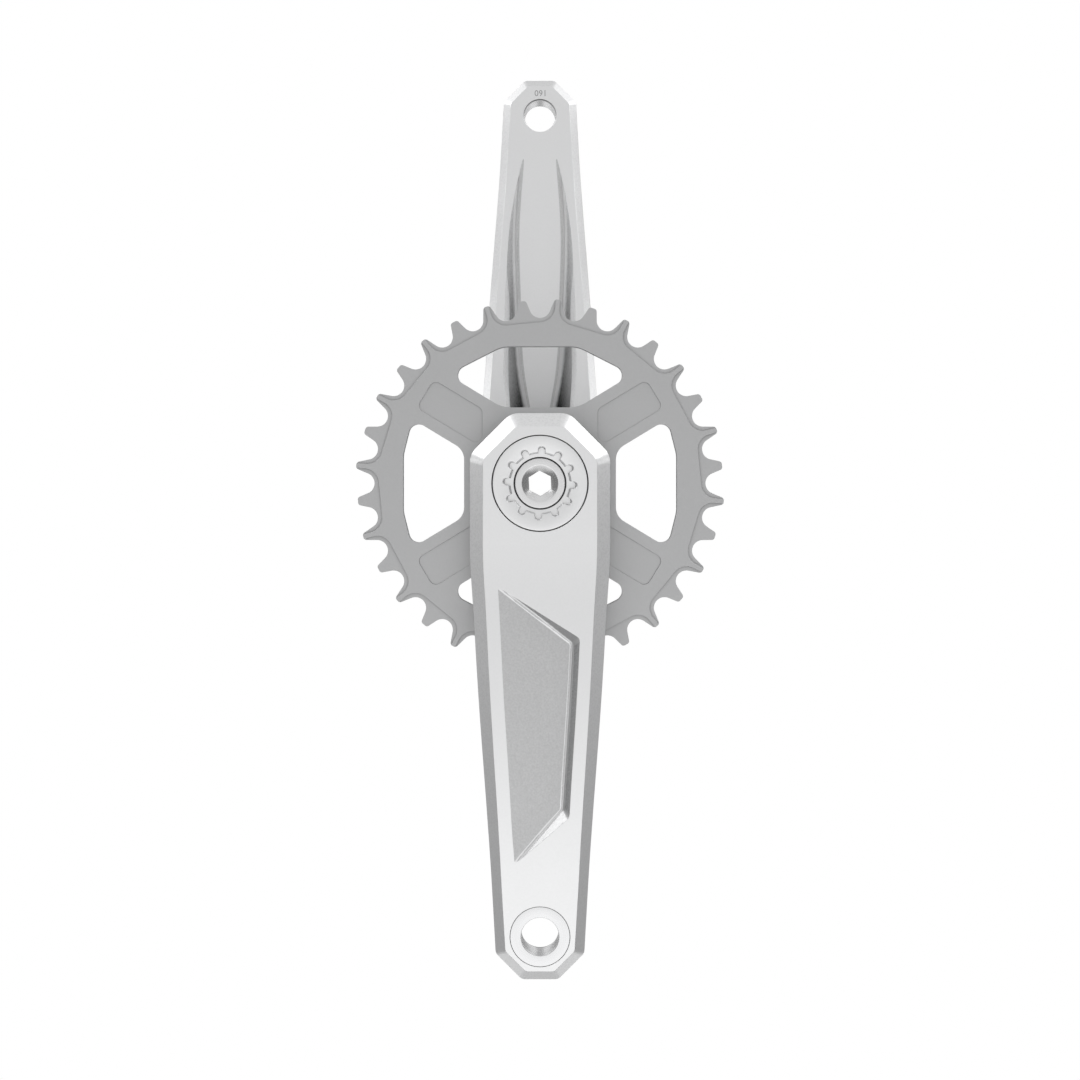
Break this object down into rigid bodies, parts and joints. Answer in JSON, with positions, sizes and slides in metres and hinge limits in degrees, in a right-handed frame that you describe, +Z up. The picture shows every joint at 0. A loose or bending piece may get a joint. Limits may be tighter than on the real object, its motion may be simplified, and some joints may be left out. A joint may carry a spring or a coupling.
{
  "type": "bicycle crankset",
  "caption": "Bicycle crankset: faceted alloy arms with sculpted pockets on a hollow splined spindle, a narrow-wide direct-mount chainring and a self-extracting hex bolt.",
  "frame": {"origin": "on the spindle's axis, at the middle plane of the bottom bracket", "axes": "+X forward, +Y along the spindle to the non-drive side, +Z up along the non-drive arm"},
  "size_m": [0.1352, 0.17, 0.3514],
  "materials": {
    "arm_alloy": "satin silver",
    "ring_alloy": "bead-blasted grey",
    "spindle_alloy": "hard anodised black",
    "cap_alloy": "satin silver",
    "bolt_steel": "turned",
    "insert_steel": "turned",
    "washer_steel": "plain",
    "screw_steel": "black oxide",
    "black_plastic": "moulded",
    "slip_plastic": "moulded",
    "collar_alloy": "anodised black"
  },
  "bodies": {
    "root": {"drive_arm": "arm_alloy", "nondrive_arm": "arm_alloy", "drive_pedal_insert": "insert_steel", "nondrive_pedal_insert": "insert_steel", "spindle": "spindle_alloy", "crank_bolt": "bolt_steel", "bolt_washer": "washer_steel", "extractor_washer": "slip_plastic", "extractor_cap": "cap_alloy", "chainring": "ring_alloy", "chainring_screws": "screw_steel", "drive_spacer": "black_plastic", "nondrive_spacer": "black_plastic", "wave_washer": "washer_steel", "preload_collar": "collar_alloy", "collar_screw": "screw_steel"}
  },
  "joints": []
}
